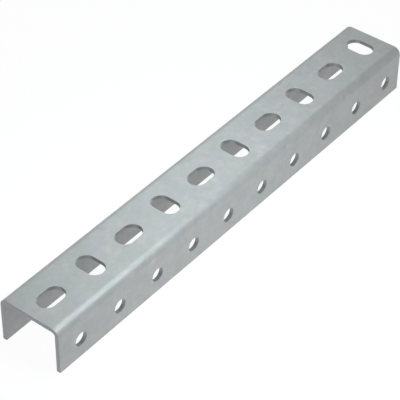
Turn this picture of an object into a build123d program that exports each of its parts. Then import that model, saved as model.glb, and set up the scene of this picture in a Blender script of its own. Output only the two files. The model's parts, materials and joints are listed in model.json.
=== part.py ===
from build123d import *

import os

# A perforated U strut channel: one length of folded, galvanised steel sheet.
#
# The channel stands on the cut edges of its two flanges, with its web on top.
# +X runs along the channel, +Y across it and +Z up.  The origin is midway
# along the channel and midway between the flanges, on the floor.
#
# The web is punched with slots on its centre line, turned by a quarter turn at
# every station, so that a bolt can be shifted along the channel at one station
# and across it at the next.  Each flange has a round hole at every station, and
# the two holes of a station share one axis, so a bolt passes through both.

# Driving dimensions, in millimetres.

station_count = 10  # punched stations along this length
station_pitch = 30.0  # from one station to the next
start_distance = 16.4  # from the cut end at -X to the first station
finish_distance = 13.6  # from the last station to the cut end at +X

web_width = 39.0  # across the outsides of the flanges
flange_height = 28.8  # from the floor to the top of the web
sheet = 2.5  # thickness of the sheet
bend_inner_radius = 2.0  # inside of each fold

slot_length = 17.0  # overall
slot_width = 11.0
hole_diameter = 8.2
hole_height = 11.5  # from the floor to the centre of a flange hole

# What follows from them.

length = start_distance + (station_count - 1) * station_pitch + finish_distance
half_width = web_width / 2
bend_outer_radius = bend_inner_radius + sheet
stations = [start_distance - length / 2 + i * station_pitch for i in range(station_count)]

with BuildPart() as strut_channel:
    # The sheet, folded down on both sides of the web along its whole length.
    with BuildSketch(Plane.YZ) as section:
        with BuildLine():
            outside = FilletPolyline(
                (half_width, 0),
                (half_width, flange_height),
                (-half_width, flange_height),
                (-half_width, 0),
                radius=bend_outer_radius,
            )
            offset(outside, amount=sheet, side=Side.LEFT)
        make_face()
    extrude(amount=length / 2, both=True)

    # The web's slots, along the channel and across it in turn.
    with BuildSketch(Plane.XY.offset(flange_height)) as web_slots:
        with Locations([(x, 0) for x in stations[0::2]]):
            SlotOverall(slot_length, slot_width)
        with Locations([(x, 0) for x in stations[1::2]]):
            SlotOverall(slot_length, slot_width, rotation=90)
    extrude(amount=-sheet, mode=Mode.SUBTRACT)

    # The flanges' holes, punched on one axis through both flanges.
    with BuildSketch(Plane.XZ) as flange_holes:
        with Locations([(x, hole_height) for x in stations]):
            Circle(hole_diameter / 2)
    extrude(amount=half_width, both=True, mode=Mode.SUBTRACT)

strut_channel.part.label = "strut_channel"

os.makedirs("parts", exist_ok=True)
export_step(strut_channel.part, "parts/strut_channel.step")
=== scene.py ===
"""A perforated strut channel of hot-dip galvanised sheet, standing on a white studio floor.

The channel is built as the works makes it: flat panels with punched slots and
holes, joined by rolled folds, then given the sheet's thickness and softened
edges.  It stands for the frame's one node and takes its sizes from the frame.
Lengths are in metres: +X runs along the channel, +Y across it and +Z up.
"""

import json
import logging
import math
from collections.abc import Iterable
from dataclasses import dataclass
from enum import Enum
from typing import Any

import bmesh
import bpy
from mathutils import Matrix, Vector

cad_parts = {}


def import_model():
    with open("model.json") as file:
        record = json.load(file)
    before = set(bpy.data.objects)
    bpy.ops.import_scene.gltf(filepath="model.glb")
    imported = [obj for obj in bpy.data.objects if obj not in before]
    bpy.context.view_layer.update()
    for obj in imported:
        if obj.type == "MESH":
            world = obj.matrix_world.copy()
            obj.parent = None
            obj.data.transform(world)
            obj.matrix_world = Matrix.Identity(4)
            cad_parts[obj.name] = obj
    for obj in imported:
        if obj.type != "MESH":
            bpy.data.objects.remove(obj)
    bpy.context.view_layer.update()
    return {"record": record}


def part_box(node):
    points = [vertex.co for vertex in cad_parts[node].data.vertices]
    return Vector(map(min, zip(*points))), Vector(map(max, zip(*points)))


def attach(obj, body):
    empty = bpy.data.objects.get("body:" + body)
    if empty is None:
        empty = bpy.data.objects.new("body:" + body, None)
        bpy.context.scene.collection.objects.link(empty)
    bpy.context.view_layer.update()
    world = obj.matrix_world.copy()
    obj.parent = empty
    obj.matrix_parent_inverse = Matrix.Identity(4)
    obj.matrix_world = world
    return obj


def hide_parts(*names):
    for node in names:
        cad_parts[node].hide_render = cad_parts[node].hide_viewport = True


LOG = logging.getLogger("strut_channel")

MM = 0.001
NODE = "strut_channel"
BODY = "root"
SLOT = "galvanised_steel"

# A Mix node has the same socket names for every kind of value, so its sockets go by number.
MIX_FACTOR = 0
MIX_NUMBERS = (2, 3)
MIX_NUMBER = 0
MIX_COLOURS = (6, 7)
MIX_COLOUR = 2

Colour = tuple[float, float, float, float]
WHITE: Colour = (1.0, 1.0, 1.0, 1.0)
COOL_WHITE = "#f0fafd"


def linear(hex_colour: str) -> Colour:
    """Turns an sRGB colour into the linear one that a shader works in.

    Args:
        hex_colour: six hex digits after a hash sign.

    Returns:
        Linear red, green and blue, and an alpha of 1.
    """
    channels = [int(hex_colour[i : i + 2], 16) / 255 for i in (1, 3, 5)]
    red, green, blue = [c / 12.92 if c <= 0.04045 else ((c + 0.055) / 1.055) ** 2.4 for c in channels]
    return red, green, blue, 1.0


def add_node(
    tree: bpy.types.NodeTree,
    kind: str,
    settings: dict[str, Any] | None = None,
    inputs: dict[str | int, Any] | None = None,
) -> bpy.types.Node:
    """Adds one shader node with its settings, values and links.

    Args:
        tree: the node tree that the node joins.
        kind: the node's type, such as ShaderNodeMix.
        settings: the node's own properties by name.
        inputs: a value, or an output socket to link from, for each input by name or number.

    Returns:
        The new node.
    """
    node = tree.nodes.new(kind)
    for name, value in (settings or {}).items():
        setattr(node, name, value)
    for key, value in (inputs or {}).items():
        if isinstance(value, bpy.types.NodeSocket):
            tree.links.new(value, node.inputs[key])
        else:
            node.inputs[key].default_value = value
    return node


@dataclass(frozen=True)
class Cloud:
    """A soft noise whose features are of one size, moved so that no two clouds are alike.

    The span is the part of the noise that counts, and it is stretched over the result.
    """

    size: float
    detail: float
    shift: float = 0.0
    span: tuple[float, float] = (0.0, 1.0)
    result: tuple[float, float] = (0.0, 1.0)
    fine_share: float = 0.55

    def noise(self, tree: bpy.types.NodeTree, place: bpy.types.NodeSocket) -> bpy.types.Node:
        """Lays the noise over the object.

        Args:
            tree: the node tree that the noise joins.
            place: the object coordinates.

        Returns:
            The noise node, with a number and a colour to read.
        """
        shift = (self.shift, -self.shift, 2 * self.shift)
        moved = add_node(tree, "ShaderNodeMapping", inputs={"Vector": place, "Location": shift})
        return add_node(
            tree,
            "ShaderNodeTexNoise",
            {"noise_dimensions": "3D"},
            {
                "Vector": moved.outputs["Vector"],
                "Scale": 1 / self.size,
                "Detail": self.detail,
                "Roughness": self.fine_share,
            },
        )

    def stretched(self, tree: bpy.types.NodeTree, place: bpy.types.NodeSocket) -> bpy.types.NodeSocket:
        """Lays the noise over the object and stretches it.

        Args:
            tree: the node tree that the noise joins.
            place: the object coordinates.

        Returns:
            A number that stays within the result.
        """
        inputs = {"Value": self.noise(tree, place).outputs["Fac"]}
        inputs |= {"From Min": self.span[0], "From Max": self.span[1]}
        inputs |= {"To Min": self.result[0], "To Max": self.result[1]}
        return add_node(tree, "ShaderNodeMapRange", inputs=inputs).outputs["Result"]


@dataclass(frozen=True)
class GalvanisedSteel:
    """Hot-dip galvanised sheet steel, punched, cut and folded before the dip.

    The zinc freezes in small flat crystals and then dulls, so the face is a
    pale, half matt metal with soft patches that lean to blue, green or grey,
    and each crystal is a touch lighter or darker than the next.  On the walls
    of the holes and the cut ends the coat is thinner, darker and smoother.
    """

    zinc: str = "#bab7b7"
    dull_zinc: str = "#a19f9f"
    bluish: str = "#a3a8af"
    greenish: str = "#a5aca5"
    sheared: str = "#9d9fa1"
    patches: Cloud = Cloud(8 * MM, 4.0, 0.0, (0.32, 0.68))
    blue_tint: Cloud = Cloud(11 * MM, 3.0, 0.31, (0.45, 0.75))
    green_tint: Cloud = Cloud(11 * MM, 3.0, 0.77, (0.45, 0.75))
    # Crystals of 2 to 3 mm, which wander by half their size and so get bays and spurs.
    crystal_size: float = 2.4 * MM
    crystal_share: float = 0.35
    crystal_wander: float = 1.5 * MM
    wander: Cloud = Cloud(2.4 * MM, 2.0, 0.43)
    # The coat's grit is too fine to be seen by itself from afar, and only breaks up the gloss.
    grit: Cloud = Cloud(0.35 * MM, 2.0)
    grit_depth: float = 0.004 * MM
    metallic: float = 0.28
    roughness: Cloud = Cloud(2.4 * MM, 3.0, 0.13, (0.3, 0.7), (0.34, 0.46))
    sheared_roughness: float = 0.30

    def facets(self, tree: bpy.types.NodeTree, place: bpy.types.NodeSocket) -> bpy.types.NodeOutputs:
        """Grows the zinc's crystals.

        Args:
            tree: the node tree that the crystals join.
            place: the object coordinates.

        Returns:
            Red, green and blue, which are three random numbers of each crystal's own.
        """
        wandering = add_node(
            tree,
            "ShaderNodeVectorMath",
            {"operation": "MULTIPLY_ADD"},
            {0: self.wander.noise(tree, place).outputs["Color"], 1: (self.crystal_wander,) * 3, 2: place},
        )
        crystals = add_node(
            tree,
            "ShaderNodeTexVoronoi",
            inputs={"Vector": wandering.outputs["Vector"], "Scale": 1 / self.crystal_size},
        )
        return add_node(tree, "ShaderNodeSeparateColor", inputs={"Color": crystals.outputs["Color"]}).outputs

    def colour(self, tree: bpy.types.NodeTree, place: bpy.types.NodeSocket) -> bpy.types.NodeSocket:
        """Lays the zinc's tones over one another, each by its cloud and by the crystals.

        Args:
            tree: the node tree that the tones join.
            place: the object coordinates.

        Returns:
            The colour of the whole coat.
        """
        facets = self.facets(tree, place)
        colour: Any = linear(self.dull_zinc)
        for cloud, facet, tone in (
            (self.patches, "Red", self.zinc),
            (self.blue_tint, "Green", self.bluish),
            (self.green_tint, "Blue", self.greenish),
        ):
            both = (cloud.stretched(tree, place), facets[facet])
            share = add_node(
                tree, "ShaderNodeMix", inputs={MIX_FACTOR: self.crystal_share} | dict(zip(MIX_NUMBERS, both))
            ).outputs[MIX_NUMBER]
            both = (colour, linear(tone))
            colour = add_node(
                tree,
                "ShaderNodeMix",
                {"data_type": "RGBA"},
                {MIX_FACTOR: share} | dict(zip(MIX_COLOURS, both)),
            ).outputs[MIX_COLOUR]
        return colour

    def material(self) -> bpy.types.Material:
        """Builds the finish.

        Returns:
            A material that reads object coordinates and the sheared attribute.
        """
        made = bpy.data.materials.new(SLOT)
        made.use_nodes = True
        tree = made.node_tree
        tree.nodes.clear()
        place = add_node(tree, "ShaderNodeTexCoord").outputs["Object"]
        cut = add_node(tree, "ShaderNodeAttribute", {"attribute_name": "sheared"}).outputs["Fac"]
        both = (self.colour(tree, place), linear(self.sheared))
        colour = add_node(
            tree, "ShaderNodeMix", {"data_type": "RGBA"}, {MIX_FACTOR: cut} | dict(zip(MIX_COLOURS, both))
        ).outputs[MIX_COLOUR]
        both = (self.roughness.stretched(tree, place), self.sheared_roughness)
        roughness = add_node(
            tree, "ShaderNodeMix", inputs={MIX_FACTOR: cut} | dict(zip(MIX_NUMBERS, both))
        ).outputs[MIX_NUMBER]
        bump = add_node(
            tree,
            "ShaderNodeBump",
            inputs={
                "Height": self.grit.noise(tree, place).outputs["Fac"],
                "Distance": self.grit_depth,
                "Strength": 1.0,
            },
        )
        surface = add_node(
            tree,
            "ShaderNodeBsdfPrincipled",
            inputs={
                "Base Color": colour,
                "Metallic": self.metallic,
                "Roughness": roughness,
                "Normal": bump.outputs["Normal"],
            },
        )
        add_node(tree, "ShaderNodeOutputMaterial", inputs={"Surface": surface.outputs["BSDF"]})
        return made


class Face(Enum):
    """The three flat faces of the channel, seen from outside."""

    WEB = "web"
    FRONT = "front flange"
    BACK = "back flange"


@dataclass(frozen=True)
class Punching:
    """One punched hole, round or, with a straight stretch, a slot."""

    radius: float
    straight: float = 0.0
    turned: bool = False


@dataclass
class StrutChannel:
    """The whole channel: a U of sheet with slots in its web and holes in its flanges."""

    low: Vector
    high: Vector
    first_station: float
    pitch: float
    count: int
    slot_length: float
    slot_radius: float
    hole_radius: float
    hole_height: float
    sheet: float = 2.5 * MM
    fold_radius: float = 4.5 * MM
    fold_steps: int = 16
    hole_steps: int = 72
    rim: float = 1.2 * MM
    edge_round: float = 0.22 * MM
    edge_steps: int = 3
    sharp_angle: float = math.pi / 4
    tolerance: float = 0.001 * MM

    @classmethod
    def from_frame(cls, record: dict[str, Any]) -> "StrutChannel":
        """Reads the channel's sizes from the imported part.

        Args:
            record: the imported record, whose mounts give the slots and holes.

        Returns:
            A channel of the same size.
        """
        mounts = {mount["name"]: mount for mount in record["mounts"]}
        slots = mounts["web_long_slots"]
        holes = mounts["front_flange_end_holes"]
        low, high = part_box(NODE)
        first = slots["pos_m"][0] - slots["dims"]["spacing_x_mm"] * MM / 2
        pitch = mounts["web_cross_slot_start"]["pos_m"][0] - first
        return cls(
            low=low,
            high=high,
            first_station=first,
            pitch=pitch,
            count=round(holes["dims"]["spacing_x_mm"] * MM / pitch) + 1,
            slot_length=slots["dims"]["slot_length_mm"] * MM,
            slot_radius=slots["dims"]["hole_r_mm"] * MM,
            hole_radius=holes["dims"]["hole_r_mm"] * MM,
            hole_height=holes["pos_m"][2],
        )

    @property
    def web_half(self) -> float:
        """Half the width of the web's flat face, between its folds."""
        return self.high.y - self.fold_radius

    @property
    def flange_top(self) -> float:
        """The height at which a flange's flat face meets its fold."""
        return self.high.z - self.fold_radius

    def cells(self) -> Iterable[tuple[float, float, float]]:
        """Yields the start, station and end of each cell, from one cut end to the other."""
        for i in range(self.count):
            station = self.first_station + i * self.pitch
            start = self.low.x if i == 0 else station - self.pitch / 2
            end = self.high.x if i == self.count - 1 else station + self.pitch / 2
            yield start, station, end

    def punched_rim(
        self, bm: bmesh.types.BMesh, punching: Punching, centre: tuple[float, float]
    ) -> list[bmesh.types.BMEdge]:
        """Draws a punched hole on the plane of the panel, with a neat rim of faces round it.

        Args:
            bm: the mesh that takes the hole.
            punching: the hole.
            centre: the hole's place on the panel.

        Returns:
            The edges of the rim's outer line.
        """
        wall = bmesh.ops.create_circle(bm, radius=punching.radius, segments=self.hole_steps)["verts"]
        half_step = Matrix.Rotation(math.pi / self.hole_steps, 3, "Z")
        bmesh.ops.rotate(bm, verts=wall, matrix=half_step)
        line = list({edge for v in wall for edge in v.link_edges})
        grown = bmesh.ops.extrude_edge_only(bm, edges=line)["geom"]
        ring = [part for part in grown if isinstance(part, bmesh.types.BMVert)]
        growth = 1 + self.rim / punching.radius
        bmesh.ops.scale(bm, verts=ring, vec=(growth, growth, 1))
        verts = wall + ring
        for side in (-1, 1):
            end = [v for v in verts if v.co.x * side > 0]
            bmesh.ops.translate(bm, verts=end, vec=(side * punching.straight / 2, 0, 0))
        if punching.turned:
            bmesh.ops.rotate(bm, verts=verts, matrix=Matrix.Rotation(math.pi / 2, 3, "Z"))
        bmesh.ops.translate(bm, verts=verts, vec=(*centre, 0))
        outer = set(ring)
        edges = [part for part in grown if isinstance(part, bmesh.types.BMEdge)]
        return [edge for edge in edges if outer.issuperset(edge.verts)]

    def panel(
        self,
        bm: bmesh.types.BMesh,
        span: tuple[float, float],
        across: tuple[float, float],
        punching: Punching,
        centre: tuple[float, float],
        place: Matrix,
    ) -> None:
        """Adds one cell of a flat face, with its hole and a neat rim of faces round it.

        Args:
            bm: the mesh that takes the panel.
            span: where the cell starts and ends along the channel.
            across: where it starts and ends across the face.
            punching: the cell's hole.
            centre: the hole's place on the cell.
            place: carries the cell from its drawing plane to its face.
        """
        before = set(bm.verts)
        low, high = across
        corners = [bm.verts.new((x, y, 0)) for x, y in zip(span + span[::-1], (low, low, high, high))]
        border = [bm.edges.new((a, b)) for a, b in zip(corners, corners[1:] + corners[:1])]
        rim = self.punched_rim(bm, punching, centre)
        bmesh.ops.triangle_fill(bm, use_beauty=True, edges=border + rim)
        bmesh.ops.transform(bm, matrix=place, verts=[v for v in bm.verts if v not in before])

    def flat_faces(self, bm: bmesh.types.BMesh) -> None:
        """Adds the web and both flanges, cell by cell."""
        upright = Matrix.Rotation(math.pi / 2, 4, "X")
        places = {
            Face.WEB: Matrix.Translation((0, 0, self.high.z)),
            Face.FRONT: Matrix.Translation((0, self.low.y, 0)) @ upright,
            Face.BACK: Matrix.Translation((0, self.high.y, 0)) @ upright,
        }
        hole = Punching(self.hole_radius)
        for i, (start, station, end) in enumerate(self.cells()):
            slot = Punching(self.slot_radius, self.slot_length - 2 * self.slot_radius, turned=i % 2 == 1)
            web = (-self.web_half, self.web_half)
            self.panel(bm, (start, end), web, slot, (station, 0), places[Face.WEB])
            for face in (Face.FRONT, Face.BACK):
                flange = (self.low.z, self.flange_top)
                self.panel(bm, (start, end), flange, hole, (station, self.hole_height), places[face])

    def folds(self, bm: bmesh.types.BMesh) -> None:
        """Rolls the sheet over from each long edge of the web to its flange."""
        for side in (-1, 1):
            edge_y = side * self.web_half
            web = [v for v in bm.verts if v.co.z > self.flange_top]
            verts = [v for v in web if abs(v.co.y - edge_y) < self.tolerance]
            edges = [e for e in bm.edges if e.verts[0] in verts and e.verts[1] in verts]
            bmesh.ops.spin(
                bm,
                geom=verts + edges,
                cent=(0, edge_y, self.flange_top),
                axis=(1, 0, 0),
                angle=-side * math.pi / 2,
                steps=self.fold_steps,
                use_merge=False,
            )

    def thicken(self, bm: bmesh.types.BMesh) -> None:
        """Gives the skin the sheet's thickness, inwards, and marks what the punch and shears cut."""
        outside = set(bm.verts)
        bmesh.ops.solidify(bm, geom=list(bm.faces), thickness=self.sheet)
        sheared = bm.faces.layers.float.new("sheared")
        for face in bm.faces:
            kept = sum(v in outside for v in face.verts)
            face[sheared] = float(0 < kept < len(face.verts))

    def soften(self, bm: bmesh.types.BMesh) -> None:
        """Rounds every cut and punched edge a little, as zinc and tumbling leave it."""
        sharp = [e for e in bm.edges if e.is_manifold and e.calc_face_angle() > self.sharp_angle]
        bmesh.ops.bevel(
            bm,
            geom=sharp,
            offset=self.edge_round,
            offset_type="OFFSET",
            affect="EDGES",
            segments=self.edge_steps,
            profile=0.5,
            material=-1,
            clamp_overlap=False,
            loop_slide=True,
        )

    def build(self) -> bpy.types.Object:
        """Builds and dresses the channel.

        Returns:
            The channel's object, which rides on the frame's body and stands for its node.
        """
        bm = bmesh.new()
        self.flat_faces(bm)
        self.folds(bm)
        bmesh.ops.remove_doubles(bm, verts=bm.verts, dist=self.tolerance)
        bmesh.ops.recalc_face_normals(bm, faces=bm.faces)
        self.thicken(bm)
        self.soften(bm)
        mesh = bpy.data.meshes.new("galvanised_channel")
        bm.to_mesh(mesh)
        bm.free()
        mesh.shade_smooth()
        channel = bpy.data.objects.new("galvanised_channel", mesh)
        bpy.context.scene.collection.objects.link(channel)
        shading = channel.modifiers.new("flat_faces_stay_flat", "WEIGHTED_NORMAL")
        shading.weight = 100
        mesh.materials.append(GalvanisedSteel().material())
        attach(channel, BODY)
        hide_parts(NODE)
        return channel


@dataclass(frozen=True)
class Lamp:
    """A soft rectangular studio lamp that looks at one point."""

    name: str
    place: tuple[float, float, float]
    aim: tuple[float, float, float]
    size: tuple[float, float]
    power: float
    colour: str = "#ffffff"

    def build(self) -> bpy.types.Object:
        """Hangs the lamp and turns it to its aim."""
        data = bpy.data.lights.new(self.name, "AREA")
        data.shape = "RECTANGLE"
        data.size, data.size_y = self.size
        data.energy = self.power
        data.color = linear(self.colour)[:3]
        lamp = bpy.data.objects.new(self.name, data)
        lamp.location = self.place
        lamp.rotation_mode = "QUATERNION"
        lamp.rotation_quaternion = (Vector(self.aim) - Vector(self.place)).to_track_quat("-Z", "Y")
        bpy.context.scene.collection.objects.link(lamp)
        return lamp


@dataclass(frozen=True)
class Studio:
    """A white floor that is lit a little from below, a white surround and soft lamps."""

    floor_radius: float = 3.0
    floor_segments: int = 96
    shadow_reach: float = 0.6
    shadow_share: float = 0.10
    floor_light: float = 0.56
    floor_colour: str = "#fdfdfd"
    under_light: float = 0.46
    ambient: float = 0.08
    # The broad lamp close above draws the soft light line along the front fold.
    lamps: tuple[Lamp, ...] = (
        Lamp("overhead", (-0.04, -0.05, 0.20), (-0.03, 0.0, 0.015), (0.23, 0.23), 0.42, COOL_WHITE),
        Lamp("front", (-0.04, -0.19, 0.20), (-0.03, 0.0, 0.015), (0.14, 0.14), 0.08, COOL_WHITE),
        Lamp("back", (0.40, 0.31, 0.45), (0.0, 0.0, 0.01), (0.25, 0.25), 0.36, COOL_WHITE),
    )

    def seen_directly(self, tree: bpy.types.NodeTree) -> bpy.types.NodeSocket:
        """Returns 1 for a ray from the camera, off gloss or through glass, and 0 for the rest."""
        path = add_node(tree, "ShaderNodeLightPath")
        factor = path.outputs["Is Camera Ray"]
        for name in ("Is Glossy Ray", "Is Transmission Ray"):
            factor = add_node(
                tree, "ShaderNodeMath", {"operation": "MAXIMUM"}, {0: factor, 1: path.outputs[name]}
            ).outputs["Value"]
        return factor

    def world(self) -> None:
        """Makes a surround that looks white and lights the object evenly."""
        world = bpy.data.worlds.new("studio")
        world.use_nodes = True
        tree = world.node_tree
        tree.nodes.clear()
        strength = add_node(
            tree,
            "ShaderNodeMapRange",
            inputs={"Value": self.seen_directly(tree), "To Min": self.ambient, "To Max": 1.0},
        )
        surround = add_node(
            tree,
            "ShaderNodeBackground",
            inputs={"Color": WHITE, "Strength": strength.outputs["Result"]},
        )
        add_node(tree, "ShaderNodeOutputWorld", inputs={"Surface": surround.outputs["Background"]})
        bpy.context.scene.world = world

    def floor_finish(self) -> bpy.types.Material:
        """Builds white acrylic sheet, lit a little from below, which brightens the channel's insides.

        Where it is seen, part of its white is light from the lamps, which a
        shadow takes away, and the rest is its own.  So it is white where no
        shadow falls, and it meets the surround.

        Returns:
            The floor's material.
        """
        material = bpy.data.materials.new("white_acrylic")
        material.use_nodes = True
        tree = material.node_tree
        tree.nodes.clear()
        place = add_node(tree, "ShaderNodeTexCoord").outputs["Object"]
        away = add_node(tree, "ShaderNodeVectorMath", {"operation": "LENGTH"}, {0: place}).outputs["Value"]
        share = add_node(
            tree,
            "ShaderNodeMapRange",
            {"interpolation_type": "SMOOTHSTEP"},
            {"Value": away, "From Max": self.shadow_reach, "To Min": self.shadow_share, "To Max": 0.0},
        ).outputs["Result"]
        glow = add_node(
            tree, "ShaderNodeMath", {"operation": "MULTIPLY_ADD"}, {0: share, 1: -self.floor_light, 2: 1.0}
        ).outputs["Value"]
        lit = add_node(tree, "ShaderNodeBsdfDiffuse", inputs={"Color": share}).outputs["BSDF"]
        own = add_node(tree, "ShaderNodeEmission", inputs={"Color": WHITE, "Strength": glow})
        white = add_node(tree, "ShaderNodeAddShader", inputs={0: lit, 1: own.outputs["Emission"]})
        lit_sheet = add_node(
            tree,
            "ShaderNodeBsdfPrincipled",
            inputs={
                "Base Color": linear(self.floor_colour),
                "Roughness": 1.0,
                "Specular IOR Level": 0.0,
                "Emission Color": WHITE,
                "Emission Strength": self.under_light,
            },
        )
        mix = add_node(
            tree,
            "ShaderNodeMixShader",
            inputs={0: self.seen_directly(tree), 1: lit_sheet.outputs["BSDF"], 2: white.outputs["Shader"]},
        )
        add_node(tree, "ShaderNodeOutputMaterial", inputs={"Surface": mix.outputs["Shader"]})
        return material

    def floor(self) -> None:
        """Lays the floor, level and round, under the channel."""
        bm = bmesh.new()
        bmesh.ops.create_circle(bm, cap_ends=True, radius=self.floor_radius, segments=self.floor_segments)
        mesh = bpy.data.meshes.new("studio_floor")
        bm.to_mesh(mesh)
        bm.free()
        mesh.materials.append(self.floor_finish())
        floor = bpy.data.objects.new("studio_floor", mesh)
        bpy.context.scene.collection.objects.link(floor)

    def build(self) -> None:
        """Makes the surround, the floor and the lamps."""
        self.world()
        self.floor()
        for lamp in self.lamps:
            lamp.build()


@dataclass(frozen=True)
class Viewpoint:
    """A long-lens camera that looks down on the channel from one end."""

    azimuth: float = -51.87
    elevation: float = 41.24
    roll: float = 0.64
    distance: float = 1.0028
    aim_right: float = -8.62 * MM
    aim_up: float = 1.69 * MM
    lens: float = 163.27
    sensor: float = 36.0

    def build(self) -> bpy.types.Object:
        """Places the camera and makes it the scene's own."""
        a, e = math.radians(self.azimuth), math.radians(self.elevation)
        back = Vector((math.sin(a) * math.cos(e), -math.cos(a) * math.cos(e), math.sin(e)))
        level = Vector((0, 0, 1)).cross(back).normalized()
        rolled = Matrix.Rotation(math.radians(self.roll), 3, back)
        right = rolled @ level
        up = back.cross(right)
        data = bpy.data.cameras.new("camera")
        data.lens = self.lens
        data.sensor_width = self.sensor
        camera = bpy.data.objects.new("camera", data)
        aim = right * self.aim_right + up * self.aim_up
        turn = Matrix((right, up, back)).transposed().to_4x4()
        camera.matrix_world = Matrix.Translation(aim + back * self.distance) @ turn
        bpy.context.scene.collection.objects.link(camera)
        bpy.context.scene.camera = camera
        return camera


def main() -> None:
    """Builds the channel and its studio."""
    logging.basicConfig(level=logging.INFO, format="%(name)s: %(message)s")
    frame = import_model()
    channel = StrutChannel.from_frame(frame["record"]).build()
    LOG.info("%s: %d faces", channel.name, len(channel.data.polygons))
    Studio().build()
    Viewpoint().build()
    bpy.context.scene.view_settings.view_transform = "Standard"


if __name__ == "__main__":
    main()
